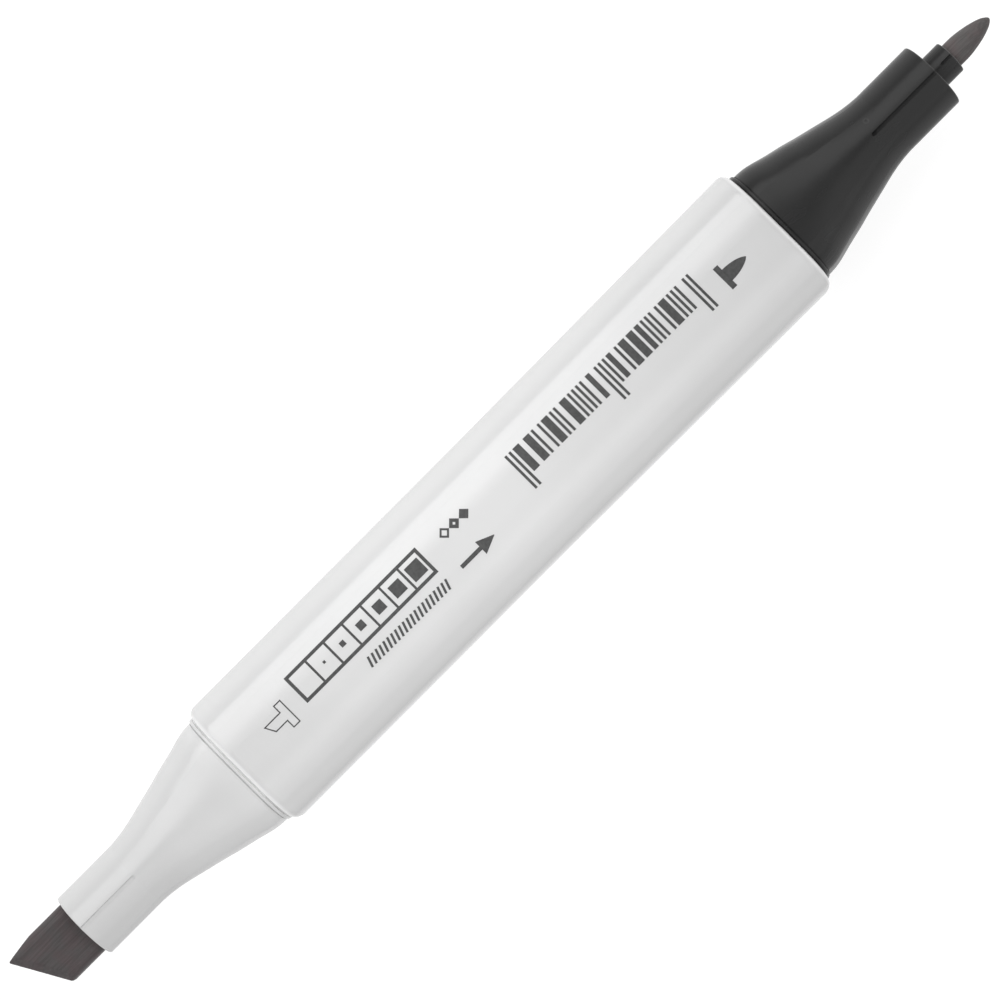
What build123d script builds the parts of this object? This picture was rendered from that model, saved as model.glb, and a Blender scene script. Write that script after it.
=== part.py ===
from build123d import *
import math
import os

# Twin-tip felt marker, uncapped, in millimetres.
# The marker lies along X with its fine tip towards +X and its printed face up (+Z).
# The origin is the middle of the barrel's flat underside, where it rests.

# --- Barrel: a soft-square tube, a little wider at the fine end.
# Each flat bends away in a slow crown before it reaches the tighter corner.
BARREL_LENGTH = 72.95
BARREL_HEIGHT = 14.9
BARREL_WIDTH_BROAD_END = 14.7
BARREL_WIDTH_FINE_END = 15.1
BARREL_CROWN_RADIUS = 14.0
BARREL_CROWN_TURN = 10.0
BARREL_CORNER_RADIUS = 4.2
BARREL_RIM_ROUNDING = 0.85
CAVITY_SIZE = 12.3
CAVITY_CORNER_RADIUS = 3.6
RIB_WIDTH = 1.0

# --- Front sections: skirt inside the barrel, rim ring, cone and round nose.
# Distances along a section are counted outwards from the barrel's end face.
# The two differ only in how far the nose and its groove reach, and in the groove's depth.
SKIRT_LENGTH = 7.0
NECK_LENGTH = 0.12
NECK_SIZE = 13.05
RING_END = 0.44
RING_SIZE = 13.45
RING_EDGE_ROUNDING = 0.12
RING_GROOVE_END = 0.56
RING_GROOVE_SIZE = 12.8
BASE_SIZE = 13.12
BASE_FLATNESS = 0.96
CONE_START = 1.67
CONE_START_BLEND = 0.3
CONE_SLOPE = 0.25
NOSE_RADIUS = 3.68
NOSE_BLEND = 0.7
NOSE_START = CONE_START + (BASE_SIZE / 2 - NOSE_RADIUS) / CONE_SLOPE
NOSE_STRAIGHT_START = 14.6
BROAD_NOSE_END = 21.75
FINE_NOSE_END = 21.3
NOSE_EDGE_ROUNDING = 0.18
SNAP_BEAD_START = -5.4
SNAP_BEAD_LENGTH = 0.8
SNAP_BEAD_HEIGHT = 0.15
SNAP_BEAD_SLACK = 0.05

# --- Vent groove along each nose, a little to one side of its top
GROOVE_WIDTH = 0.4
GROOVE_Y = -0.22
BROAD_GROOVE_START = 14.75
BROAD_GROOVE_DEPTH = 0.12
FINE_GROOVE_START = 12.8
FINE_GROOVE_DEPTH = 0.25

# --- Hollow inside a front section
SHOULDER = -2.6
HOLLOW_RADIUS_AT_SHOULDER = 4.7
HOLLOW_RADIUS_AT_GUIDE = 3.5
GUIDE_START = 9.0

# --- Ink reservoir: fibre bundle wrapped in film, between the two shoulders
RESERVOIR_LENGTH = BARREL_LENGTH + 2 * SHOULDER - 0.2
FIBRE_RADIUS = 5.35
FILM_RADIUS = 5.5
FILM_CLEARANCE = 0.05
NIB_SOCKET_DEPTH = 6.1

# --- Nibs
NIB_CLEARANCE = 0.05
NIB_TAIL_IN_RESERVOIR = 6.0
BROAD_NIB_WIDTH = 6.15
BROAD_NIB_THICKNESS = 4.0
BROAD_NIB_CORNER_RADIUS = 1.2
BROAD_TIP_REACH = 7.6
BROAD_SHORT_CORNER_REACH = 4.4
BROAD_TIP_INSET = 0.5
BEVEL_LENGTH = 0.8
BROAD_EDGE_THICKNESS = 2.6
FINE_NIB_RADIUS = 1.35
FINE_NIB_STRAIGHT = 0.9
FINE_NIB_REACH = 5.3
FINE_TIP_POWER = 1.6
FINE_TIP_FULLNESS = 0.55
FINE_TIP_STEPS = 7

# --- Sleeve that holds the fine nib in the black nose
SLEEVE_COLLAR_RADIUS = 1.8
SLEEVE_COLLAR_LENGTH = 2.45
SLEEVE_COLLAR_EDGE = 0.12
SLEEVE_COLLAR_ROOT = 0.22
SLEEVE_BODY_RADIUS = 2.57
SLEEVE_BORE_RADIUS = 2.6
SLEEVE_SEAT = 10.0
SLEEVE_LIP_RADIUS = 2.0
SLEEVE_RECESS = 0.04
SLEEVE_SLOT_WIDTH = 0.3
SLEEVE_SLOT_DEPTH = 0.22
SLEEVE_SLOT_LENGTH = 1.4

# --- Places worked out from the sizes above
AXIS_HEIGHT = BARREL_HEIGHT / 2
CROWN_ANGLE = math.radians(BARREL_CROWN_TURN)
CORNER_INSET = BARREL_CROWN_RADIUS - (BARREL_CROWN_RADIUS - BARREL_CORNER_RADIUS) * math.cos(CROWN_ANGLE)
CORNER_CENTRE = AXIS_HEIGHT - CORNER_INSET
HALF_BARREL = BARREL_LENGTH / 2
HALF_RESERVOIR = RESERVOIR_LENGTH / 2
BROAD_NOSE_TIP_X = HALF_BARREL + BROAD_NOSE_END
FINE_NOSE_TIP_X = HALF_BARREL + FINE_NOSE_END
NIB_TAIL_X = HALF_RESERVOIR - NIB_TAIL_IN_RESERVOIR


# --- Shared shapes. Everything is built round the X axis and raised at the end.

def square_section(x, width, height, corner_radius):
    """A rounded rectangle across the marker at x: width along Y, height along Z."""
    return Plane.YZ.offset(x) * RectangleRounded(width, height, corner_radius)


def square_bar(x_low, x_high, width, height, corner_radius):
    """A straight bar of rounded-rectangular section between two places along X."""
    return extrude(square_section(x_low, width, height, corner_radius), x_high - x_low)


def soft_square(x, width, height):
    """The barrel's section at x, or a smaller one of the same shape."""
    scale = height / BARREL_HEIGHT
    crown = BARREL_CROWN_RADIUS * scale
    corner = BARREL_CORNER_RADIUS * scale
    inset = CORNER_INSET * scale
    flat_y = width / 2 - inset - (crown - corner) * math.sin(CROWN_ANGLE)
    flat_z = height / 2 - inset - (crown - corner) * math.sin(CROWN_ANGLE)
    arcs = [
        CenterArc((width / 2 - crown, flat_z), crown, 0, BARREL_CROWN_TURN),
        CenterArc(
            (width / 2 - inset, height / 2 - inset),
            corner,
            BARREL_CROWN_TURN,
            90 - 2 * BARREL_CROWN_TURN,
        ),
        CenterArc((flat_y, height / 2 - crown), crown, 90 - BARREL_CROWN_TURN, BARREL_CROWN_TURN),
    ]
    side_flat = Line((width / 2, -flat_z), (width / 2, flat_z))
    top_flat = Line((-flat_y, height / 2), (flat_y, height / 2))
    half = [side_flat, top_flat, *arcs, *[mirror(arc, Plane.YZ) for arc in arcs]]
    outline = [*half, *[Rot(0, 0, 180) * edge for edge in half]]
    return Plane.YZ.offset(x) * make_face([edge.edge() for edge in outline])


def soft_bar(x_low, x_high, size):
    """A straight bar of soft-square section between two places along X."""
    return extrude(soft_square(x_low, size, size), x_high - x_low)


def turned(*points):
    """A solid of revolution about the X axis, from a closed outline of (x, radius) points."""
    return revolve(Plane.XY * make_face(Polyline(*points, close=True)), Axis.X)


def rod(x_low, x_high, radius):
    """A round rod along the X axis."""
    return turned((x_low, 0), (x_high, 0), (x_high, radius), (x_low, radius))


def ring_of_edges(shape, x):
    """The edges of a shape that lie flat in the plane across the marker at x."""
    return shape.edges().filter_by_position(Axis.X, x - 0.001, x + 0.001)


# --- Barrel

def make_barrel():
    middle = soft_square(0, BARREL_WIDTH_BROAD_END, BARREL_HEIGHT)
    fine_end = soft_square(HALF_BARREL, BARREL_WIDTH_FINE_END, BARREL_HEIGHT)
    broad_half = extrude(middle, -HALF_BARREL)
    fine_half = loft([middle, fine_end], ruled=True)
    body = broad_half + fine_half
    for end in (-HALF_BARREL, HALF_BARREL):
        body = fillet(ring_of_edges(body, end), BARREL_RIM_ROUNDING)
    return body - barrel_cavity()


def barrel_cavity():
    """The square hollow, less four ribs that centre the reservoir, plus the snap grooves."""
    hollow = square_bar(-HALF_BARREL, HALF_BARREL, CAVITY_SIZE, CAVITY_SIZE, CAVITY_CORNER_RADIUS)
    rib_inner = FILM_RADIUS + FILM_CLEARANCE
    rib_height = CAVITY_SIZE / 2 - rib_inner
    rib_length = BARREL_LENGTH - 2 * SKIRT_LENGTH
    rib = Pos(0, 0, rib_inner + rib_height / 2) * Box(rib_length, RIB_WIDTH, rib_height)
    for turn in range(4):
        hollow -= Rot(90 * turn, 0, 0) * rib
    groove = snap_ring(SNAP_BEAD_SLACK)
    return hollow + [groove, mirror(groove, Plane.YZ)]


def snap_ring(slack):
    """The square ring that snaps a section into the barrel, at the fine end."""
    size = CAVITY_SIZE + 2 * (SNAP_BEAD_HEIGHT + slack)
    start = HALF_BARREL + SNAP_BEAD_START
    return square_bar(
        start - slack,
        start + SNAP_BEAD_LENGTH + slack,
        size,
        size,
        CAVITY_CORNER_RADIUS + SNAP_BEAD_HEIGHT + slack,
    )


# --- Front sections, both built at the fine end; the broad one is then mirrored

def soft_step(distance, softness):
    """Zero before the step and a straight climb after it, with a soft bend between."""
    return softness * math.log1p(math.exp(distance / softness))


def cone_half_width(distance):
    """Half the section's width at a distance from the barrel's end face."""
    to_nose = soft_step(NOSE_START - distance, NOSE_BLEND)
    to_base = soft_step(CONE_START - distance, CONE_START_BLEND)
    return NOSE_RADIUS + CONE_SLOPE * (to_nose - to_base)


def morphing_section(distance, half_width, squareness):
    """A closed outline between a circle (squareness 0) and a soft square (1), as 8 arcs."""
    square_side = (CORNER_CENTRE + BARREL_CORNER_RADIUS * math.cos(CROWN_ANGLE)) / AXIS_HEIGHT
    square_rise = (CORNER_CENTRE + BARREL_CORNER_RADIUS * math.sin(CROWN_ANGLE)) / AXIS_HEIGHT
    square_diagonal = (CORNER_CENTRE + BARREL_CORNER_RADIUS * math.sqrt(0.5)) / AXIS_HEIGHT
    turn = math.atan2(square_rise, square_side)
    side = squareness * square_side + (1 - squareness) * math.cos(turn)
    rise = squareness * square_rise + (1 - squareness) * math.sin(turn)
    diagonal = squareness * square_diagonal + (1 - squareness) * math.sqrt(0.5)
    flat = ThreePointArc((side, -rise), (1, 0), (side, rise))
    corner = ThreePointArc((side, rise), (diagonal, diagonal), (rise, side))
    edges = [Rot(0, 0, 90 * turn_count) * edge for turn_count in range(4) for edge in (flat, corner)]
    outline = make_face(Wire([edge.edge() for edge in edges]).scale(half_width))
    return Plane.YZ.offset(HALF_BARREL + distance) * outline


def cone_skin():
    """The skin from the rim ring's groove to where the round nose runs straight."""
    base_half = cone_half_width(RING_GROOVE_END)
    stations = [RING_GROOVE_END, 1.3, 2.0, 3.0, 5.0, 7.0, 9.0, 11.0, 12.2, 13.4]
    outlines = []
    for distance in stations:
        half_width = cone_half_width(distance)
        share = (half_width - NOSE_RADIUS) / (base_half - NOSE_RADIUS)
        outlines.append(morphing_section(distance, half_width, BASE_FLATNESS * share))
    outlines.append(morphing_section(NOSE_STRAIGHT_START, NOSE_RADIUS, 0))
    return loft(outlines)


def nose(tip_x):
    """The straight round nose, with its front edge softened."""
    cylinder = rod(HALF_BARREL + NOSE_STRAIGHT_START, tip_x, NOSE_RADIUS)
    return fillet(ring_of_edges(cylinder, tip_x), NOSE_EDGE_ROUNDING)


def rim_ring():
    """The ring that shows between barrel and cone, with both its outer edges softened."""
    start = HALF_BARREL + NECK_LENGTH
    end = HALF_BARREL + RING_END
    ring = soft_bar(start, end, RING_SIZE)
    return fillet(ring_of_edges(ring, start) + ring_of_edges(ring, end), RING_EDGE_ROUNDING)


def front_section_skin(tip_x):
    """Outer form of a front section, from the skirt in the barrel to the nose."""
    end = HALF_BARREL
    skirt = square_bar(end - SKIRT_LENGTH, end, CAVITY_SIZE, CAVITY_SIZE, CAVITY_CORNER_RADIUS)
    neck = soft_bar(end, end + NECK_LENGTH, NECK_SIZE)
    groove = soft_bar(end + RING_END, end + RING_GROOVE_END, RING_GROOVE_SIZE)
    return skirt + [neck, rim_ring(), groove, snap_ring(0), cone_skin(), nose(tip_x)]


def front_section(tip_x, groove_start, groove_depth):
    """A front section with its nose, vent groove and inner hollow, before its nib bore."""
    end = HALF_BARREL
    section = front_section_skin(tip_x)
    section -= vent_groove(end + groove_start, tip_x, groove_depth)
    hollow = turned(
        (end - SKIRT_LENGTH, 0),
        (end + GUIDE_START, 0),
        (end + GUIDE_START, HOLLOW_RADIUS_AT_GUIDE),
        (end + SHOULDER, HOLLOW_RADIUS_AT_SHOULDER),
        (end + SHOULDER, FILM_RADIUS + FILM_CLEARANCE),
        (end - SKIRT_LENGTH, FILM_RADIUS + FILM_CLEARANCE),
    )
    return section - hollow


def vent_groove(start, tip_x, depth):
    """A narrow groove with a round inner end, along the nose."""
    middle_z = NOSE_RADIUS - depth + 0.5
    length = tip_x - start + 1
    run = Pos(start + length / 2, GROOVE_Y, middle_z) * Box(length, GROOVE_WIDTH, 1)
    inner_end = Pos(start, GROOVE_Y, middle_z) * Cylinder(GROOVE_WIDTH / 2, 1)
    return run + inner_end


def make_broad_front_section():
    section = front_section(BROAD_NOSE_TIP_X, BROAD_GROOVE_START, BROAD_GROOVE_DEPTH)
    guide = square_bar(
        HALF_BARREL,
        BROAD_NOSE_TIP_X + 1,
        BROAD_NIB_WIDTH + 2 * NIB_CLEARANCE,
        BROAD_NIB_THICKNESS + 2 * NIB_CLEARANCE,
        BROAD_NIB_CORNER_RADIUS + NIB_CLEARANCE,
    )
    return mirror(section - guide, Plane.YZ)


def make_fine_front_section():
    section = front_section(FINE_NOSE_TIP_X, FINE_GROOVE_START, FINE_GROOVE_DEPTH)
    sleeve_bore = rod(HALF_BARREL + SLEEVE_SEAT, FINE_NOSE_TIP_X + 1, SLEEVE_BORE_RADIUS)
    lip_hole = rod(HALF_BARREL, HALF_BARREL + SLEEVE_SEAT, SLEEVE_LIP_RADIUS)
    return section - sleeve_bore - lip_hole


def make_fine_nib_sleeve():
    """A turned tube: a body pressed into the nose and a slimmer collar that stands out of it."""
    seat = HALF_BARREL + SLEEVE_SEAT
    step = FINE_NOSE_TIP_X - SLEEVE_RECESS
    end = FINE_NOSE_TIP_X + SLEEVE_COLLAR_LENGTH
    sleeve = turned(
        (seat, 0),
        (end, 0),
        (end, SLEEVE_COLLAR_RADIUS),
        (step, SLEEVE_COLLAR_RADIUS),
        (step, SLEEVE_BODY_RADIUS),
        (seat, SLEEVE_BODY_RADIUS),
    )
    sleeve = fillet(ring_of_edges(sleeve, end), SLEEVE_COLLAR_EDGE)
    root = ring_of_edges(sleeve, step).sort_by(lambda edge: edge.length)[0]
    sleeve = fillet(root, SLEEVE_COLLAR_ROOT)
    sleeve -= rod(seat - 1, end + 1, FINE_NIB_RADIUS + NIB_CLEARANCE)
    slot_x = end - SLEEVE_SLOT_LENGTH / 2
    slot_z = SLEEVE_COLLAR_RADIUS - SLEEVE_SLOT_DEPTH + 0.5
    return sleeve - Pos(slot_x, 0, slot_z) * Box(SLEEVE_SLOT_LENGTH, SLEEVE_SLOT_WIDTH, 1)


# --- Nibs

def make_broad_nib():
    """A flat fibre block, cut slantwise at the end and bevelled on both wide faces."""
    tip_x = -(BROAD_NOSE_TIP_X + BROAD_TIP_REACH)
    short_x = -(BROAD_NOSE_TIP_X + BROAD_SHORT_CORNER_REACH)
    half_width = BROAD_NIB_WIDTH / 2
    tip_y = half_width - BROAD_TIP_INSET
    block = square_bar(
        tip_x, -NIB_TAIL_X, BROAD_NIB_WIDTH, BROAD_NIB_THICKNESS, BROAD_NIB_CORNER_RADIUS
    )
    outline = Polyline(
        (-NIB_TAIL_X, half_width),
        (short_x, half_width),
        (tip_x, tip_y),
        (short_x, -half_width),
        (-NIB_TAIL_X, -half_width),
        close=True,
    )
    side_view = extrude(Plane.XY * make_face(outline), BROAD_NIB_THICKNESS, both=True)
    nib = block & side_view
    for wedge in bevel_cutters(Vector(tip_x, tip_y, 0), Vector(short_x, -half_width, 0)):
        nib -= wedge
    return nib


def bevel_cutters(tip, short_corner):
    """The two wedges that thin the nib towards its slanted edge, above and below."""
    along_edge = (short_corner - tip).normalized()
    outward = along_edge.cross(Vector(0, 0, 1))
    if outward.X > 0:
        outward = outward * -1
    plane = Plane(origin=tip, x_dir=outward, z_dir=along_edge)
    upward = plane.to_local_coords(tip + Vector(0, 0, 1)).Y
    half_edge = BROAD_EDGE_THICKNESS / 2
    rise = (BROAD_NIB_THICKNESS / 2 - half_edge) / BEVEL_LENGTH
    for side in (upward, -upward):
        outline = Polyline(
            (2, side * (half_edge - 2 * rise)),
            (-BEVEL_LENGTH - 2, side * (half_edge + (BEVEL_LENGTH + 2) * rise)),
            (2, side * (half_edge + (BEVEL_LENGTH + 2) * rise)),
            close=True,
        )
        yield extrude(plane * make_face(outline), 3 * BROAD_NIB_WIDTH, both=True)


def fine_tip_radius(distance):
    """Radius of the bullet tip at a distance past the end of its straight part."""
    share = distance / (FINE_NIB_REACH - FINE_NIB_STRAIGHT)
    return FINE_NIB_RADIUS * (1 - share**FINE_TIP_POWER) ** FINE_TIP_FULLNESS


def make_fine_nib():
    """A thin fibre rod with a bullet-shaped writing tip."""
    collar_end = FINE_NOSE_TIP_X + SLEEVE_COLLAR_LENGTH
    tip_start = collar_end + FINE_NIB_STRAIGHT
    tip_length = FINE_NIB_REACH - FINE_NIB_STRAIGHT
    spacing = [1 - (1 - step / FINE_TIP_STEPS) ** 2 for step in range(FINE_TIP_STEPS + 1)]
    profile = [(tip_start + share * tip_length, fine_tip_radius(share * tip_length)) for share in spacing]
    bullet = Spline(*profile, tangents=[(1, 0), (0, -1)])
    rest = Polyline(profile[-1], (NIB_TAIL_X, 0), (NIB_TAIL_X, FINE_NIB_RADIUS), profile[0])
    return revolve(Plane.XY * make_face(Wire([*bullet.edges(), *rest.edges()])), Axis.X)


# --- Ink reservoir

def make_ink_reservoir():
    """The fibre bundle, with a socket in each end that fits the tail of its nib."""
    socket_start = HALF_RESERVOIR - NIB_SOCKET_DEPTH
    bundle = rod(-HALF_RESERVOIR, HALF_RESERVOIR, FIBRE_RADIUS)
    broad_socket = square_bar(
        -HALF_RESERVOIR - 1,
        -socket_start,
        BROAD_NIB_WIDTH + 2 * NIB_CLEARANCE,
        BROAD_NIB_THICKNESS + 2 * NIB_CLEARANCE,
        BROAD_NIB_CORNER_RADIUS + NIB_CLEARANCE,
    )
    fine_socket = rod(socket_start, HALF_RESERVOIR + 1, FINE_NIB_RADIUS + NIB_CLEARANCE)
    return bundle - broad_socket - fine_socket


def make_reservoir_film():
    return rod(-HALF_RESERVOIR, HALF_RESERVOIR, FILM_RADIUS) - rod(
        -HALF_RESERVOIR - 1, HALF_RESERVOIR + 1, FIBRE_RADIUS
    )


def main():
    os.makedirs("parts", exist_ok=True)
    parts = {
        "barrel": make_barrel(),
        "broad_front_section": make_broad_front_section(),
        "fine_front_section": make_fine_front_section(),
        "fine_nib_sleeve": make_fine_nib_sleeve(),
        "broad_nib": make_broad_nib(),
        "fine_nib": make_fine_nib(),
        "ink_reservoir": make_ink_reservoir(),
        "reservoir_film": make_reservoir_film(),
    }
    for name, shape in parts.items():
        export_step(Pos(0, 0, AXIS_HEIGHT) * shape, f"parts/{name}.step")


main()
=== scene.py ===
import math
import random
from collections import namedtuple

import bmesh
import bpy
from mathutils import Matrix, Vector, noise
from mathutils.bvhtree import BVHTree


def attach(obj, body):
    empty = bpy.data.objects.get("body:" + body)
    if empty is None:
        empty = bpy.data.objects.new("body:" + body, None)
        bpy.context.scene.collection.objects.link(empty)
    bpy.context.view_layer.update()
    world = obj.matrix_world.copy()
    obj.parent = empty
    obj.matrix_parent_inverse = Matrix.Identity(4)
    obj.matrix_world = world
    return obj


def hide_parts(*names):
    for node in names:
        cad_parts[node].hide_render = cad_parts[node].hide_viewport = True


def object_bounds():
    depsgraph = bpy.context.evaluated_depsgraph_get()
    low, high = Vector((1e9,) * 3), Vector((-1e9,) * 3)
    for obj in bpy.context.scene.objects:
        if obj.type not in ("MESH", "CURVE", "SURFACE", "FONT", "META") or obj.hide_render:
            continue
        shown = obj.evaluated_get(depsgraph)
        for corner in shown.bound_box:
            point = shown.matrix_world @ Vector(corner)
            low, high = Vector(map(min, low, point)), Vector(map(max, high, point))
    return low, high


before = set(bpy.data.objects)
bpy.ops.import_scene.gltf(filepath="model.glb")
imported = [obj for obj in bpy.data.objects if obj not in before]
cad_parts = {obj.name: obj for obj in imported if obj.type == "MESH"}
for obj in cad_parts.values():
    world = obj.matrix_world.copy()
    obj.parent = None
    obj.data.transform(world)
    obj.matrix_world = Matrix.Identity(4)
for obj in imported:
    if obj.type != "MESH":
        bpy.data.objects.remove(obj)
cad_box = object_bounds()

# The uncapped twin-tip marker lies along X, printed face up, with its fine tip towards +X.
MM = 0.001

# --- Camera: above the marker, rolled a little about the marker's axis. The distance and the
# aim are in metres, the angles in degrees, the lens and the sensor in millimetres.
CAMERA_DISTANCE = 0.440
CAMERA_LENS = 164.05
CAMERA_SENSOR = 36.0
CAMERA_ROLL = 3.0
CAMERA_TURN = 45.1
CAMERA_AIM_X = -0.00079
CAMERA_AIM_Y = 0.0006

# --- Light: soft boxes round the marker, with a small one close above its middle.
# The radiance is in units of the white floor's. A box without glare isn't mirrored by the pieces.
SoftBox = namedtuple("SoftBox", "size place radiance glare")
SOFT_BOXES = {
    "softbox": SoftBox((2.6, 0.546), (0.0, 0.375, 0.650), 1.50, True),
    "side": SoftBox((2.6, 0.402), (0.0, 0.680, 0.317), 0.36, False),
    "fill": SoftBox((2.6, 0.820), (0.0, -0.468, 0.586), 0.66, True),
    "near": SoftBox((0.04, 0.04), (-0.008, 0.0, 0.070), 1.9, False),
}

# --- Surround: its radiance up to the horizon and overhead, how much it gains towards +Y, and
# how much it loses far below the horizon on the -Y side. A height is the Z of the direction
# looked in, from -1 straight down to 1 straight up.
HORIZON_RADIANCE = 0.91
OVERHEAD_RADIANCE = 0.0
OVERHEAD_HEIGHT = 0.6
SURROUND_LEAN = 0.06
SHADED_SIDE_DIP = 0.5
DIP_START_HEIGHT = -0.35
DIP_FULL_HEIGHT = -0.85

# --- Floor
FLOOR_SIZE = 40.0
FLOOR_GLOW = 0.86
FLOOR_ALBEDO = 0.30

# --- Finishes: the part of a noise's range that nearly all of it lies in
NOISE_LOW = 0.3
NOISE_HIGH = 0.7

# Moulded plastic: how much handling takes from its roughness and adds to it, how much deeper
# its orange peel is than its grain, and in millimetres the soft edge and depth of a mould mark or
# of a painted glint dot
RUBBED_LESS = 0.01
RUBBED_MORE = 0.02
PEEL_TO_GRAIN = 4
MARK_LINE_FULL = 0.04
MARK_LINE_GONE = 0.12
MARK_DEPTH = 0.012

# Felt: the strands' share of its tone, which streaks make up the rest of, in millimetres the
# depth of its strands and pits, and the tint of its rusty patches
STRAND_SHARE = 0.6
STRAND_DEPTH = 0.012
PIT_DEPTH = 0.006
RUSTY_INK = (1.08, 0.93, 0.95, 1.0)

# --- Nibs: in millimetres, how near points are welded and how deep the fibre relief and its
# fuzz are. The fineness is in noise cells for each millimetre.
WELD_DISTANCE = 0.001
FIBRE_DEPTH = 0.022
FUZZ_DEPTH = 0.008
FIBRE_FINENESS_ALONG = 0.45
FUZZ_FINENESS = 9

# --- Print, in millimetres: ink this far above and below the barrel's skin, cut finely
# enough to hug it. The skin is looked for from this far above the object.
INK_HEIGHT = 0.015
INK_DEPTH = 0.02
INK_STEP = 0.25
RAY_START_HEIGHT = 10

# A stroke's mitre is cut short at a corner where the cosine of half its turn is below this
MITRE_LIMIT = 0.4


def grey(level, red=0.0, blue=0.0):
    """A linear colour from a display grey of 0 to 255, with this much more red and blue."""
    def linear(value):
        share = value / 255
        return share / 12.92 if share <= 0.04045 else ((share + 0.055) / 1.055) ** 2.4
    return (linear(level + red), linear(level), linear(level + blue), 1.0)


def cad_end():
    """Distance from the barrel's middle to each of its end faces."""
    return max(vertex.co.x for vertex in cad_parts["barrel"].data.vertices)


# --- Material helpers

class Nodes:
    """A node tree, with short ways to add nodes to it."""

    def __init__(self, tree):
        self.tree = tree

    def node(self, kind, inputs=None, **settings):
        made = self.tree.nodes.new(kind)
        for name, value in settings.items():
            setattr(made, name, value)
        for socket, value in (inputs or {}).items():
            self.feed(made.inputs[socket], value)
        return made

    def feed(self, socket, value):
        """Links an output to a socket, or sets the socket's own value."""
        if isinstance(value, bpy.types.NodeSocket):
            self.tree.links.new(value, socket)
        else:
            socket.default_value = value

    def maths(self, operation, *values):
        made = self.node("ShaderNodeMath", dict(enumerate(values)), operation=operation)
        return made.outputs[0]

    def spread(
        self,
        value,
        low=NOISE_LOW,
        high=NOISE_HIGH,
        to_low=0.0,
        to_high=1.0,
        change="SMOOTHSTEP",
    ):
        """Moves a value from one range to another, held at both ends."""
        made = self.node(
            "ShaderNodeMapRange",
            {
                "Value": value,
                "From Min": low,
                "From Max": high,
                "To Min": to_low,
                "To Max": to_high,
            },
            interpolation_type=change,
        )
        return made.outputs["Result"]


class Paint(Nodes):
    """A material and its nodes, with short ways to add what the finishes here need."""

    def __init__(self, name, **sockets):
        self.material = bpy.data.materials.new(name)
        self.material.use_nodes = True
        super().__init__(self.material.node_tree)
        self.shader = self.tree.nodes["Principled BSDF"]
        for socket, value in sockets.items():
            self.shader.inputs[socket.replace("_", " ")].default_value = value
        self.place = self.node("ShaderNodeTexCoord").outputs["Object"]

    def stretched(self, x, y, z):
        """The object's own coordinates times these. A noise read from them is longest along
        the axis with the smallest number."""
        mapping = self.node("ShaderNodeMapping", {"Vector": self.place, "Scale": (x, y, z)})
        return mapping.outputs["Vector"]

    def noise(self, scale=1.0, detail=2.0, roughness=0.5, where=None):
        made = self.node(
            "ShaderNodeTexNoise",
            {
                "Vector": where or self.place,
                "Scale": scale,
                "Detail": detail,
                "Roughness": roughness,
            },
        )
        return made.outputs["Fac"]

    def blend(self, share, first, second, blend_type="MIX"):
        made = self.node(
            "ShaderNodeMix",
            {"Factor": share, "A": first, "B": second},
            data_type="RGBA",
            blend_type=blend_type,
        )
        return made.outputs["Result"]

    def ring(self, centre, radius):
        """Zero on a ring round a point and one away from it, with a soft change between."""
        reach = self.node(
            "ShaderNodeVectorMath", {0: self.place, 1: centre}, operation="DISTANCE"
        )
        past_ring = self.maths("SUBTRACT", reach.outputs["Value"], radius)
        from_ring = self.maths("ABSOLUTE", past_ring)
        return self.spread(from_ring, MARK_LINE_FULL * MM, MARK_LINE_GONE * MM)

    def relief(self, height, depth, before=None):
        """A bump of this height map, with its depth in metres."""
        made = self.node("ShaderNodeBump", {"Height": height, "Distance": depth})
        if before:
            self.feed(made.inputs["Normal"], before)
        return made.outputs["Normal"]

    def wear(self, socket, value):
        """Sets a socket of the material's shader."""
        self.feed(self.shader.inputs[socket], value)


# --- Finishes

# A band of painted light, a painted highlight or painted shade, with the distances in millimetres
# from the barrel's nearer end face, on either side of it, at which the colour is full and gone
Band = namedtuple("Band", "colour full gone")

# A small sunken ring left by the mould, or with no radius a sunken dot coloured as a painted
# glint, with its radius and place in millimetres
MarkAndGlint = namedtuple("MarkAndGlint", "colour radius place")


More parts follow.
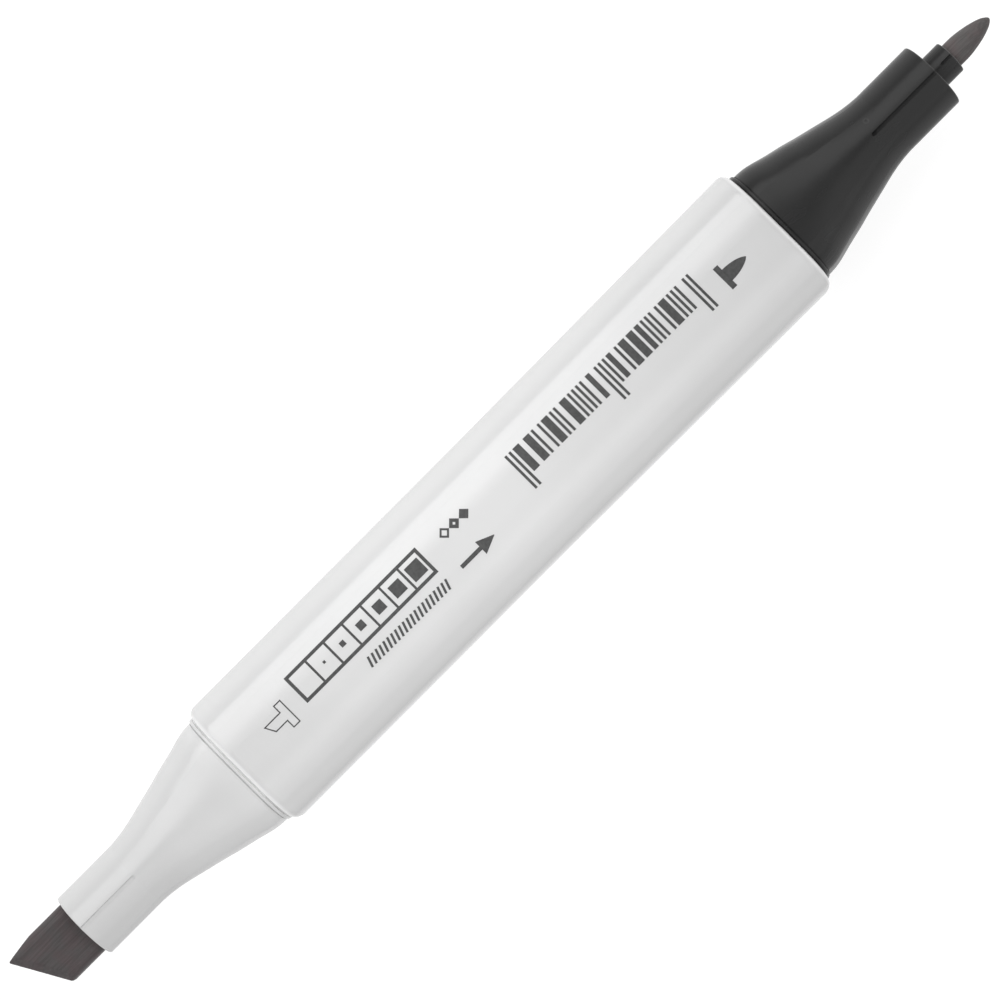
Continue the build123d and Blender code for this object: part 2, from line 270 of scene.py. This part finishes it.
def moulded_plastic(name, light, dark, roughness, grain_depth, bands=(), mark_and_glint=None, **sockets):
    """Moulded plastic: cloudy tone, orange-peel skin, fine grain and faint handling marks, with
    any bands of painted highlight and painted shade, and a mould mark or painted glint.
    """
    paint = Paint(name, **sockets)
    clouds = paint.noise(scale=90, detail=3)
    tone = paint.blend(paint.spread(clouds), light, dark)
    along = paint.node("ShaderNodeSeparateXYZ", {0: paint.place}).outputs["X"]
    past_end = paint.maths("SUBTRACT", paint.maths("ABSOLUTE", along), cad_end())
    from_end = paint.maths("ABSOLUTE", past_end)
    # Bands of painted light: painted highlights on rims and end faces, painted shade towards a
    # nose.
    for band in bands:
        fade = paint.spread(from_end, band.full * MM, band.gone * MM)
        tone = paint.blend(fade, band.colour, tone)
    rubbed = paint.noise(scale=30, where=paint.stretched(5, 20, 20))
    least, most = roughness - RUBBED_LESS, roughness + RUBBED_MORE
    paint.wear("Roughness", paint.spread(rubbed, low=0.1, high=0.9, to_low=least, to_high=most))
    peel = paint.relief(paint.noise(scale=420), grain_depth * PEEL_TO_GRAIN)
    grain = paint.noise(scale=5200, detail=3, roughness=0.6)
    skin = paint.relief(grain, grain_depth, peel)
    # A mould mark's sunken ring, or with no radius a painted glint: a sunken dot painted pale as
    # a painted highlight.
    if mark_and_glint:
        ring = paint.ring(Vector(mark_and_glint.place) * MM, mark_and_glint.radius * MM)
        tone = paint.blend(ring, mark_and_glint.colour, tone)
        skin = paint.relief(ring, MARK_DEPTH * MM, skin)
    paint.wear("Base Color", tone)
    paint.wear("Normal", skin)
    return paint.material


def barrel_finish():
    """Glossy white, with a painted highlight making the rounded end rims brighter."""
    return moulded_plastic(
        "barrel_finish",
        light=grey(227),
        dark=grey(224),
        roughness=0.20,
        grain_depth=0.0006 * MM,
        # Painted highlight: the rounded end rims near white within 0.2 mm of the end faces,
        # fading out by 0.55 mm.
        bands=[Band(grey(254), full=0.2, gone=0.55)],
        Specular_IOR_Level=1.0,
        Coat_Weight=0.5,
        Coat_Roughness=0.16,
    )


def light_section_finish():
    """Light grey, with a painted highlight as a pale rim line, painted shade making the nose
    slightly darker, and a painted glint at the inner end of the vent groove.
    """
    return moulded_plastic(
        "light_grey_finish",
        light=grey(227),
        dark=grey(224),
        roughness=0.24,
        grain_depth=0.0008 * MM,
        # Painted highlight: a pale line at the rim next to the barrel's end. Painted shade:
        # darker from 8 mm to 14 mm out towards the nose.
        bands=[Band(grey(250), full=0.1, gone=0.15), Band(grey(221), full=14.0, gone=8.0)],
        # Painted glint: a pale sunken dot at the vent groove's inner end, a painted highlight.
        mark_and_glint=MarkAndGlint(grey(252), radius=0.0, place=(-51.4, -0.22, 11.1)),
        Specular_IOR_Level=0.75,
        Coat_Weight=0.25,
        Coat_Roughness=0.2,
    )


def black_section_finish():
    """Black, with a painted highlight making the nose face paler, and a round mould mark beside
    the vent groove.
    """
    return moulded_plastic(
        "black_finish",
        light=grey(52),
        dark=grey(48),
        roughness=0.26,
        grain_depth=0.0006 * MM,
        # Painted highlight: the nose's end face and rim paler within 0.12 mm.
        bands=[Band(grey(78), full=21.28, gone=21.16)],
        mark_and_glint=MarkAndGlint(grey(58), radius=0.26, place=(49.65, 1.16, 10.96)),
        Specular_IOR_Level=0.3,
    )


def sleeve_finish():
    """Black, with a painted highlight making the end face paler."""
    return moulded_plastic(
        "sleeve_finish",
        light=grey(50),
        dark=grey(47),
        roughness=0.27,
        grain_depth=0.0006 * MM,
        # Painted highlight: the sleeve's end face paler within 0.12 mm.
        bands=[Band(grey(105), full=23.74, gone=23.62)],
        Specular_IOR_Level=0.34,
    )


def felt(name, light, dark, across):
    """Bonded fibre soaked with ink: streaks along it, rusty patches, pits and a soft sheen."""
    paint = Paint(name, Sheen_Weight=0.25, Sheen_Roughness=0.4, Specular_IOR_Level=0.35)
    strands = paint.noise(detail=4, roughness=0.65, where=paint.stretched(260, across, across))
    streaks = paint.noise(where=paint.stretched(90, across / 5, across / 5))
    from_strands = paint.maths("MULTIPLY", strands, STRAND_SHARE)
    from_streaks = paint.maths("MULTIPLY", streaks, 1 - STRAND_SHARE)
    tone = paint.maths("ADD", from_strands, from_streaks)
    body = paint.blend(paint.spread(tone), dark, light)
    patches = paint.spread(paint.noise(scale=700), low=0.35, high=0.65, to_low=0.25)
    paint.wear("Base Color", paint.blend(patches, body, RUSTY_INK, "MULTIPLY"))
    paint.wear("Roughness", paint.spread(strands, to_low=0.92, to_high=0.72))
    fibres = paint.relief(strands, STRAND_DEPTH * MM)
    paint.wear("Normal", paint.relief(paint.noise(scale=9000), PIT_DEPTH * MM, fibres))
    return paint.material


def broad_felt_finish():
    return felt("broad_felt_finish", grey(88, red=2), grey(74, red=2), across=5200)


def fine_felt_finish():
    light = grey(103, red=1, blue=-1)
    dark = grey(86, red=1, blue=-1)
    return felt("fine_felt_finish", light, dark, across=6500)


def reservoir_finish():
    return felt("reservoir_finish", grey(120), grey(90), across=3000)


def film_finish():
    """Thin clear film, wrapped with faint creases."""
    paint = Paint("film_finish", Transmission_Weight=0.85, IOR=1.4)
    paint.wear("Base Color", grey(244))
    creases = paint.noise(detail=3, where=paint.stretched(120, 900, 900))
    paint.wear("Roughness", paint.spread(creases, to_low=0.06, to_high=0.16))
    paint.wear("Normal", paint.relief(creases, 0.01 * MM))
    return paint.material


def ink_finish():
    """Screen-printed ink: slightly uneven, with a faint trace of the mesh."""
    paint = Paint("ink_finish", Specular_IOR_Level=0.4)
    cover = paint.noise(scale=2600, detail=3, roughness=0.6)
    paint.wear("Base Color", paint.blend(paint.spread(cover), grey(72), grey(84)))
    paint.wear("Roughness", paint.spread(cover, to_low=0.42, to_high=0.55))
    paint.wear("Normal", paint.relief(cover, 0.002 * MM))
    return paint.material


def dress_cad_nodes():
    """Gives each carried-over CAD piece its finish."""
    finishes = {
        "barrel": barrel_finish,
        "broad_front_section": light_section_finish,
        "fine_front_section": black_section_finish,
        "fine_nib_sleeve": sleeve_finish,
        "ink_reservoir": reservoir_finish,
        "reservoir_film": film_finish,
    }
    for name, finish in finishes.items():
        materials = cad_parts[name].data.materials
        materials.clear()
        materials.append(finish())


# --- Nibs

def new_piece(name, mesh, finish, body):
    """Puts a mesh in the scene as a piece of the object."""
    piece = bpy.data.objects.new(name, mesh)
    bpy.context.scene.collection.objects.link(piece)
    mesh.materials.clear()
    mesh.materials.append(finish)
    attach(piece, body)
    return piece


def worn_copy(node, voxel, rounding):
    """A copy of a CAD nib remeshed with faces of this size, its edges rubbed soft in this many
    rounds of smoothing."""
    source = bpy.data.objects.new("worn_copy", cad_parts[node].data.copy())
    bpy.context.scene.collection.objects.link(source)
    weld = source.modifiers.new("weld", "WELD")
    weld.merge_threshold = WELD_DISTANCE * MM
    remesh = source.modifiers.new("remesh", "REMESH")
    remesh.mode = "VOXEL"
    remesh.voxel_size = voxel * MM
    smooth = source.modifiers.new("smooth", "SMOOTH")
    smooth.factor = 0.5
    smooth.iterations = rounding
    depsgraph = bpy.context.evaluated_depsgraph_get()
    mesh = bpy.data.meshes.new_from_object(source.evaluated_get(depsgraph))
    bpy.data.objects.remove(source)
    return mesh


def sink_fibres(mesh, fineness):
    """Presses the gaps between the fibres into the skin, a little deeper in places."""
    normals = [vertex.normal.copy() for vertex in mesh.vertices]
    for vertex, normal in zip(mesh.vertices, normals):
        place = vertex.co / MM
        along = Vector((place.x * FIBRE_FINENESS_ALONG, place.y * fineness, place.z * fineness))
        strand = 0.5 - 0.5 * noise.noise(along)
        fuzz = 0.5 - 0.5 * noise.noise(place * FUZZ_FINENESS)
        vertex.co -= normal * (strand * FIBRE_DEPTH + fuzz * FUZZ_DEPTH) * MM


def make_nib(name, node, finish, voxel, rounding, fineness):
    """The felt that stands for a CAD nib."""
    mesh = worn_copy(node, voxel, rounding)
    mesh.name = name
    sink_fibres(mesh, fineness)
    mesh.polygons.foreach_set("use_smooth", [True] * len(mesh.polygons))
    piece = new_piece(name, mesh, finish, node)
    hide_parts(node)


def make_nibs():
    make_nib(
        "broad_nib_felt",
        "broad_nib",
        broad_felt_finish(),
        voxel=0.1,
        rounding=4,
        fineness=5.0,
    )
    make_nib(
        "fine_nib_felt",
        "fine_nib",
        fine_felt_finish(),
        voxel=0.07,
        rounding=3,
        fineness=6.0,
    )


# --- Print. Shapes are ribbons in millimetres on the barrel's top: X along it, Y across it.

def skin_tree():
    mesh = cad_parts["barrel"].data
    points = [vertex.co.copy() for vertex in mesh.vertices]
    return BVHTree.FromPolygons(points, [polygon.vertices[:] for polygon in mesh.polygons])


def on_skin(tree, x, y):
    """The point of the barrel's top skin over a place in millimetres."""
    above = Vector((x * MM, y * MM, cad_box[1].z + RAY_START_HEIGHT * MM))
    return tree.ray_cast(above, Vector((0, 0, -1)))[0]


def ribbon(bm, tree, sides, closed=False):
    """Adds a thin closed slab on the skin between pairs of left and right points."""
    width = max(math.dist(left, right) for left, right in sides)
    columns = max(1, math.ceil(width / INK_STEP))
    tops, bottoms = [], []
    for left, right in sides:
        top_row, bottom_row = [], []
        for column in range(columns + 1):
            share = column / columns
            x = left[0] + (right[0] - left[0]) * share
            y = left[1] + (right[1] - left[1]) * share
            skin = on_skin(tree, x, y)
            top_row.append(bm.verts.new(skin + Vector((0, 0, INK_HEIGHT * MM))))
            bottom_row.append(bm.verts.new(skin - Vector((0, 0, INK_DEPTH * MM))))
        tops.append(top_row)
        bottoms.append(bottom_row)
    count = len(sides)
    for row in range(count if closed else count - 1):
        after = (row + 1) % count
        for column in range(columns):
            near = (tops[row][column], tops[row][column + 1])
            far = (tops[after][column + 1], tops[after][column])
            bm.faces.new(near + far)
            near = (bottoms[row][column], bottoms[after][column])
            far = (bottoms[after][column + 1], bottoms[row][column + 1])
            bm.faces.new(near + far)
        for edge in (0, columns):
            wall = (tops[row][edge], tops[after][edge], bottoms[after][edge], bottoms[row][edge])
            bm.faces.new(wall)
    if not closed:
        for row in (0, count - 1):
            for column in range(columns):
                upper = (tops[row][column], tops[row][column + 1])
                lower = (bottoms[row][column + 1], bottoms[row][column])
                bm.faces.new(upper + lower)


def split_path(corners, closed=False):
    """The corners of a path with points added between them, close enough to hug the skin."""
    points = []
    following = corners[1:] + corners[:1] if closed else corners[1:]
    for start, end in zip(corners, following):
        steps = max(1, math.ceil(math.dist(start, end) / INK_STEP))
        for step in range(steps):
            share = step / steps
            points.append(tuple(a + (b - a) * share for a, b in zip(start, end)))
    if not closed:
        points.append(corners[-1])
    return points


def stroke(bm, tree, corners, width, closed=False):
    """A line of even width along a path, mitred at its corners."""
    points = [Vector(point) for point in split_path(corners, closed)]
    count = len(points)
    sides = []
    for index, point in enumerate(points):
        before = points[index - 1] if closed or index > 0 else point
        after = points[(index + 1) % count] if closed or index < count - 1 else point
        into = (point - before).normalized() if before != point else (after - point).normalized()
        out = (after - point).normalized() if after != point else into
        left_in = Vector((-into.y, into.x))
        left_out = Vector((-out.y, out.x))
        mitre = (left_in + left_out).normalized()
        reach = width / 2 / max(MITRE_LIMIT, mitre.dot(left_in))
        sides.append((tuple(point + mitre * reach), tuple(point - mitre * reach)))
    ribbon(bm, tree, sides, closed)


def bar(bm, tree, left, width, top, bottom):
    """A solid bar across the barrel."""
    points = split_path([(left, top), (left, bottom)])
    ribbon(bm, tree, [((x, y), (x + width, y)) for x, y in points])


def filled(bm, tree, start, end, middle_y, start_half, end_half):
    """A solid shape from one X to another, with straight sides: its half width at each end."""
    points = split_path([(start, middle_y), (end, middle_y)])
    sides = []
    for index, (x, y) in enumerate(points):
        share = index / (len(points) - 1)
        half = start_half + (end_half - start_half) * share
        sides.append(((x, y + half), (x, y - half)))
    ribbon(bm, tree, sides)


def draw_bar_pattern(bm, tree):
    """Bars of chance widths between three pairs of longer guard bars. It encodes nothing."""
    chance = random.Random(11)
    module = 0.27
    top, bottom, guard_bottom = 2.8, -0.16, -1.46
    guards = (2.36, 14.31, 26.16)
    first_gap, last_gap = 4 * module, 2.5 * module
    for guard in guards:
        for step in (0, 2):
            bar(bm, tree, guard + step * module, module, top, guard_bottom)
    for left, right in zip(guards, guards[1:]):
        x = left + first_gap
        while x < right - last_gap:
            width = min(chance.choice((1, 1, 2, 3)) * module, right - module - x)
            bar(bm, tree, x, width, top, bottom)
            x += width + chance.choice((1, 1, 1, 2)) * module


def draw_tone_scale(bm, tree):
    """A framed strip of cells, each after the first with a larger solid core."""
    cells, core_growth = 7, 0.14
    left, right, middle_y, height, line = -27.34, -9.71, 1.17, 3.25, 0.34
    divider_line = line * 0.7
    start, end = left + line / 2, right - line / 2
    top = middle_y + (height - line) / 2
    bottom = middle_y - (height - line) / 2
    border = [(start, bottom), (end, bottom), (end, top), (start, top)]
    stroke(bm, tree, border, line, True)
    cell = (end - start) / cells
    for index in range(1, cells):
        x = start + index * cell
        stroke(bm, tree, [(x, bottom + line / 2), (x, top - line / 2)], divider_line)
        core_x, half = x + cell / 2, core_growth * index
        filled(bm, tree, core_x - half, core_x + half, middle_y, half, half)


def draw_slanted_ticks(bm, tree):
    """A band of short slanted ticks."""
    count, pitch, slant, line = 21, 0.52, 0.35, 0.24
    start, bottom, top = -20.54, -2.45, -1.4
    for index in range(count):
        x = start + index * pitch
        stroke(bm, tree, [(x, bottom), (x + slant, top)], line)


def draw_open_diamond(bm, tree, x, y, half, line):
    """Its line is drawn a little inside its half size."""
    inset = line * 0.6
    reach = half - inset
    path = [(x - reach, y), (x, y - reach), (x + reach, y), (x, y + reach)]
    stroke(bm, tree, path, line, True)


def draw_solid_diamond(bm, tree, x, y, half):
    """Its ends along X are a little blunt, so that no face is empty."""
    parts, tip = 6, 0.04
    sides = []
    for part in range(-parts, parts + 1):
        part_x = x + part * half / parts
        reach = half * (tip + (1 - tip) * (parts - abs(part)) / parts)
        sides.append(((part_x, y + reach), (part_x, y - reach)))
    ribbon(bm, tree, sides)


def draw_diamonds(bm, tree):
    """Three small diamonds: outlined, heavily outlined and solid."""
    start, pitch, y, half = -6.74, 1.3, 1.75, 0.62
    draw_open_diamond(bm, tree, start, y, half, 0.2)
    draw_open_diamond(bm, tree, start + pitch, y, half, 0.34)
    draw_solid_diamond(bm, tree, start + 2 * pitch, y, half)


def draw_arrow(bm, tree):
    """A plain arrow that points to the fine end."""
    start, head_start, tip, y = -7.9, -5.3, -3.5, -1.72
    shaft_half, head_half, tip_half = 0.21, 0.8, 0.03
    filled(bm, tree, start, head_start, y, shaft_half, shaft_half)
    filled(bm, tree, head_start, tip, y, head_half, tip_half)


def draw_chisel_sign(bm, tree):
    """The outline of a slant-cut nib on a plain collar, beside the broad end."""
    tip_x, heel_x, nib_low, nib_high = -31.89, -31.34, -0.27, 0.74
    collar_start, collar_end, collar_low, collar_high = -29.84, -29.04, -1.15, 1.6
    outline = [
        (tip_x, nib_high),
        (heel_x, nib_low),
        (collar_start, nib_low),
        (collar_start, collar_low),
        (collar_end, collar_low),
        (collar_end, collar_high),
        (collar_start, collar_high),
        (collar_start, nib_high),
    ]
    stroke(bm, tree, outline, 0.12, True)


def draw_bullet_sign(bm, tree):
    """A solid round nib on a plain collar, beside the fine end."""
    collar_start, collar_width, collar_half = 28.96, 0.6, 1.35
    nib_start, nib_length, nib_half, tip_half = 29.51, 2.55, 0.68, 0.03
    rows = 12
    bar(bm, tree, collar_start, collar_width, collar_half, -collar_half)
    sides = []
    for row in range(rows + 1):
        share = row / rows
        x = nib_start + nib_length * share
        half = nib_half * (1 - share**2.2) ** 0.8 + tip_half
        sides.append(((x, half), (x, -half)))
    ribbon(bm, tree, sides)


def make_print():
    """Each group of printed shapes is a piece on the barrel."""
    tree = skin_tree()
    finish = ink_finish()
    groups = {
        "print_bar_pattern": draw_bar_pattern,
        "print_tone_scale": draw_tone_scale,
        "print_slanted_ticks": draw_slanted_ticks,
        "print_diamonds": draw_diamonds,
        "print_arrow": draw_arrow,
        "print_chisel_sign": draw_chisel_sign,
        "print_bullet_sign": draw_bullet_sign,
    }
    for name, draw in groups.items():
        bm = bmesh.new()
        draw(bm, tree)
        bmesh.ops.recalc_face_normals(bm, faces=bm.faces)
        mesh = bpy.data.meshes.new(name)
        bm.to_mesh(mesh)
        bm.free()
        new_piece(name, mesh, finish, "holder")


# --- Stage

def add_floor():
    """A plain pale floor that glows evenly and lights nothing else."""
    mesh = bpy.data.meshes.new("floor")
    half = FLOOR_SIZE / 2
    corners = [(-half, -half, 0), (half, -half, 0), (half, half, 0), (-half, half, 0)]
    mesh.from_pydata(corners, [], [(0, 1, 2, 3)])
    floor = bpy.data.objects.new("floor", mesh)
    bpy.context.scene.collection.objects.link(floor)
    paint = Paint("floor_finish", Roughness=0.9, Specular_IOR_Level=0.0)
    paint.wear("Base Color", (FLOOR_ALBEDO, FLOOR_ALBEDO, FLOOR_ALBEDO, 1))
    paint.wear("Emission Color", (1, 1, 1, 1))
    paint.wear("Emission Strength", FLOOR_GLOW)
    mesh.materials.append(paint.material)
    floor.visible_diffuse = False
    floor.visible_glossy = False


def add_soft_box(name, settings):
    """A rectangular light that faces the marker. Its power is pi x its area x its radiance."""
    light = bpy.data.lights.new(name, "AREA")
    light.shape = "RECTANGLE"
    width, depth = settings.size
    light.size, light.size_y = width, depth
    light.energy = settings.radiance * math.pi * width * depth
    box = bpy.data.objects.new(name, light)
    bpy.context.scene.collection.objects.link(box)
    box.location = settings.place
    to_marker = Vector((settings.place[0], 0, 0)) - Vector(settings.place)
    box.rotation_euler = to_marker.to_track_quat("-Z", "Y").to_euler()
    box.visible_camera = False
    box.visible_glossy = settings.glare


def add_surround():
    """A pale surround: brightest up to the horizon, dark overhead, a little brighter on the
    +Y side, and dimmer far below the horizon on the -Y side."""
    world = bpy.data.worlds.new("surround")
    bpy.context.scene.world = world
    world.use_nodes = True
    nodes = Nodes(world.node_tree)
    direction = nodes.node("ShaderNodeTexCoord").outputs["Generated"]
    split = nodes.node("ShaderNodeSeparateXYZ", {0: direction})
    y, z = split.outputs["Y"], split.outputs["Z"]
    level = nodes.spread(z, 0.0, OVERHEAD_HEIGHT, HORIZON_RADIANCE, OVERHEAD_RADIANCE, "LINEAR")
    leaning = nodes.maths("MULTIPLY_ADD", y, SURROUND_LEAN, level)
    below = nodes.spread(z, DIP_START_HEIGHT, DIP_FULL_HEIGHT, 0.0, SHADED_SIDE_DIP, "LINEAR")
    shaded = nodes.spread(y, 0.0, -1.0, change="LINEAR")
    strength = nodes.maths("SUBTRACT", leaning, nodes.maths("MULTIPLY", below, shaded))
    background = nodes.tree.nodes["Background"]
    nodes.feed(background.inputs["Strength"], strength)
    nodes.feed(background.inputs["Color"], (1, 1, 1, 1))


def add_camera():
    """Looks down on the printed face, with the marker lying corner to corner in the frame."""
    roll = math.radians(CAMERA_ROLL)
    turn = math.radians(CAMERA_TURN)
    toward = Vector((0, -math.sin(roll), math.cos(roll)))
    along = Vector((1, 0, 0))
    across = toward.cross(along)
    right = along * math.cos(turn) - across * math.sin(turn)
    up = along * math.sin(turn) + across * math.cos(turn)
    axis_height = (cad_box[0].z + cad_box[1].z) / 2
    aim = Vector((CAMERA_AIM_X, CAMERA_AIM_Y, axis_height))
    data = bpy.data.cameras.new("camera")
    data.lens = CAMERA_LENS
    data.sensor_width = CAMERA_SENSOR
    camera = bpy.data.objects.new("camera", data)
    bpy.context.scene.collection.objects.link(camera)
    placed = Matrix((right, up, toward)).transposed().to_4x4()
    placed.translation = aim + toward * CAMERA_DISTANCE
    camera.matrix_world = placed
    bpy.context.scene.camera = camera


bpy.context.scene.view_settings.view_transform = "Standard"
add_camera()
add_surround()
add_floor()
for box_name, box_settings in SOFT_BOXES.items():
    add_soft_box(box_name, box_settings)
dress_cad_nodes()
make_nibs()
make_print()
